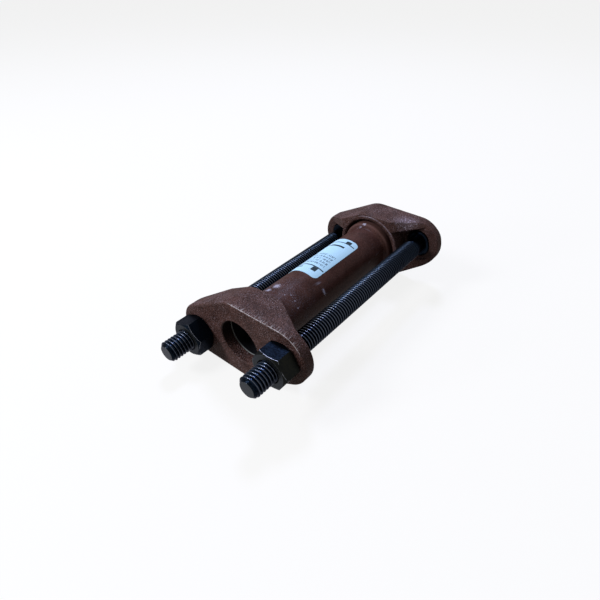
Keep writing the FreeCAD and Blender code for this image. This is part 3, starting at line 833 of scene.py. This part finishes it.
def makeBolt(name, node, side, material):
    # one surface of closed rows round the bolt: across is radius times cosine of the angle, up is
    # radius times its sine, and along is the head's seat less the row's distance
    angles = np.linspace(0, 2 * math.pi, bolt["around"], endpoint=False)
    rows = headRows(angles)
    along, thread = threadRows(angles)
    distances = np.concatenate([[row[0] for row in rows], along])
    radii = np.concatenate([np.array([row[1] for row in rows]), thread])
    centre = side * bolt["offset"]
    x = centre + radii * np.cos(angles)[None, :]
    y = bolt["headSeat"] - np.repeat(distances[:, None], len(angles), axis=1)
    z = radii * np.sin(angles)[None, :]
    points = np.stack([x, y, z], axis=2).reshape(-1, 3)
    domeTop = [centre, bolt["headSeat"] + bolt["head"][1], 0]
    tipMiddle = [centre, bolt["tip"], 0]
    points = toWorld(np.vstack([points, domeTop, tipMiddle]))
    # quads between the rows, and a fan of triangles at each end
    n, m = len(angles), len(distances)
    i, j = np.meshgrid(np.arange(m - 1), np.arange(n), indexing="ij")
    k = (j + 1) % n
    quads = np.stack([i * n + j, i * n + k, (i + 1) * n + k, (i + 1) * n + j], axis=2).reshape(-1, 4)
    j = np.arange(n)
    k = (j + 1) % n
    lastRow = (m - 1) * n
    fan = np.stack([np.full(n, m * n), k, j], axis=1)
    disc = np.stack([np.full(n, m * n + 1), lastRow + j, lastRow + k], axis=1)
    piece = addSurface(name, points, bolt["sharp"], quads, fan, disc)
    piece.data.materials.append(material)
    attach(piece, "far_gland")
    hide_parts(node)


boltSteel = makeSteel("boltSteel", boltFinish, True)
makeBolt("leftTrackBolt", "left_bolt", -1, boltSteel)
makeBolt("rightTrackBolt", "right_bolt", 1, boltSteel)
nutSteel = makeSteel("nutSteel", nutFinish, False)
dress("left_nut", nutSteel)
dress("right_nut", nutSteel)
print("bolts and nuts done")


# label: a thin sheet with round corners, wrapped on the ring
label = {
    "ringRadius": 0.0161,
    "lifts": (0.00002, 0.00015),  # of its two sides off the ring
    "start": -0.0185,
    "length": 0.0482,
    "turn": 46.0,  # degrees
    "arc": 125.0,  # degrees
    "corner": 0.0032,
    "cornerRows": 8,
    "across": 64,
    "along": 40,
    "sharp": 40,  # degrees
    "paper": (0.48, 0.75, 0.93, 1),
    "paperShade": 0.84,
    "ink": (0.006, 0.020, 0.030, 1),
    "greyInk": (0.10, 0.16, 0.22, 1),
    "greyShare": 0.85,
    # plain bars, each from and to along the ring and from and to across it, as shares of the label
    "darkPrint": [(0.182, 0.202, 0.02, 0.80), (0.100, 0.184, 0.12, 0.225), (0.115, 0.140, 0.42, 0.60),
                  (0.770, 0.808, 0.16, 0.46), (0.780, 0.800, 0.44, 0.78), (0.885, 0.903, 0.03, 0.85),
                  (0.900, 0.962, 0.13, 0.24)],
    "smallPrint": (0.235, 0.54, 0.08, 0.66),
    "printBlur": 0.004,
    "rowPitch": 0.030,
    "rowShares": (0.30, 0.45),
    "dashStretch": (17, 62, 1),
    "dashes": (1.0, 0.0, 0.5),
    "dashStep": (0.44, 0.52),
    "fibre": (60.0, 3.0, 0.6),
    "roughness": (0.0, 1.0, 0.45, 0.6),
    "bump": (0.00002, 0.4),
    "shader": {"Specular IOR Level": 0.12},
}


def roundedGrid(width, height, radius):
    # a grid squeezed into a rectangle with round corners: each end of a row is pulled in by radius
    # less the root of (radius squared - (radius - way to the rectangle's end) squared)
    bend = (1 - np.cos(np.linspace(0, math.pi / 2, label["cornerRows"])[1:])) * radius / height
    v = np.concatenate([np.linspace(0, 1, label["along"]), bend, 1 - bend])
    v = np.unique(np.round(v, 6))
    u = np.linspace(0, 1, label["across"])
    edge = np.minimum(v, 1 - v) * height
    pull = radius - np.sqrt(np.maximum(radius ** 2 - (radius - edge) ** 2, 0))
    pull = np.where(edge < radius, pull, 0)
    x = pull[:, None] + (width - 2 * pull[:, None]) * u[None, :]
    y = np.repeat(v[:, None] * height, len(u), axis=1)
    return x, y


def printBox(tree, u, v, area):
    # 1 inside a plain rectangle of the print
    fromU, toU, fromV, toV = area
    blur = label["printBlur"]
    return product(tree, (u, (fromU - blur, fromU + blur)), (u, (toU + blur, toU - blur)),
                   (v, (fromV - blur, fromV + blur)), (v, (toV + blur, toV - blur)))


def makeLabelMaterial():
    material, tree = newMaterial("labelPaper")
    place = addNode(tree, "ShaderNodeUVMap", uv_map="print").outputs[0]
    parts = split(tree, place)
    u, v = parts["X"], parts["Y"]
    dark = sums(tree, "MAXIMUM", *[printBox(tree, u, v, area) for area in label["darkPrint"]])
    # rows of plain dashes stand where the small print was
    pitch = label["rowPitch"]
    rows = ramp(tree, sums(tree, "PINGPONG", u, pitch), [pitch * share for share in label["rowShares"]])
    dashes = noise(tree, mapped(tree, place, label["dashStretch"]), *label["dashes"])
    dashes = ramp(tree, dashes, label["dashStep"])
    block = printBox(tree, u, v, label["smallPrint"])
    small = sums(tree, "MULTIPLY", rows, dashes, block, label["greyShare"])
    fibre = noise(tree, place, *label["fibre"])
    shaded = [part * label["paperShade"] for part in label["paper"][:3]] + [1]
    colour = mixColour(tree, fibre, label["paper"], shaded)
    colour = mixColour(tree, small, colour, label["greyInk"])
    colour = mixColour(tree, dark, colour, label["ink"])
    finishMaterial(tree, colour, fibre, fibre, label)
    return material


def makeLabel():
    # an under and an upper side: a point's angle round the ring is the label's turn plus its way
    # across the sheet over the ring's radius
    width = math.radians(label["arc"]) * label["ringRadius"]
    across, along = roundedGrid(width, label["length"], label["corner"])
    angle = math.radians(label["turn"]) + across / label["ringRadius"]
    shells = []
    for lift in label["lifts"]:
        r = label["ringRadius"] + lift
        shell = np.stack([r * np.cos(angle), label["start"] + along, r * np.sin(angle)], axis=2)
        shells.append(shell.reshape(-1, 3))
    points = toWorld(np.vstack(shells))
    m, n = angle.shape
    i, j = np.meshgrid(np.arange(m - 1), np.arange(n - 1), indexing="ij")
    quads = np.stack([i * n + j, (i + 1) * n + j, (i + 1) * n + j + 1, i * n + j + 1], axis=2)
    quads = quads.reshape(-1, 4)
    # a wall joins the two sides all round: along the first row, the last column, the last row and
    # the first column
    rim = np.concatenate([np.arange(n), np.arange(1, m) * n + n - 1,
                          np.arange(n - 2, -1, -1) + (m - 1) * n, np.arange(m - 2, 0, -1) * n])
    after = np.roll(rim, -1)
    top = m * n
    wall = np.stack([rim, rim + top, after + top, after], axis=1)
    # the under side looks down at the ring, so its quads run the other way round
    piece = addSurface("ringLabel", points, label["sharp"], quads[:, ::-1], quads + top, wall)
    mesh = piece.data
    # the print's own map: along and across the sheet, as shares of it
    flat = np.stack([along.ravel() / label["length"], across.ravel() / width], axis=1)
    flat = np.vstack([flat, flat])
    corners = np.empty(len(mesh.loops), dtype=np.int32)
    mesh.loops.foreach_get("vertex_index", corners)
    printMap = mesh.uv_layers.new(name="print")
    printMap.data.foreach_set("uv", flat[corners].astype(np.float32).ravel())
    mesh.materials.append(makeLabelMaterial())
    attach(piece, "middle_ring")
    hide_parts("label")


makeLabel()
print("label done")
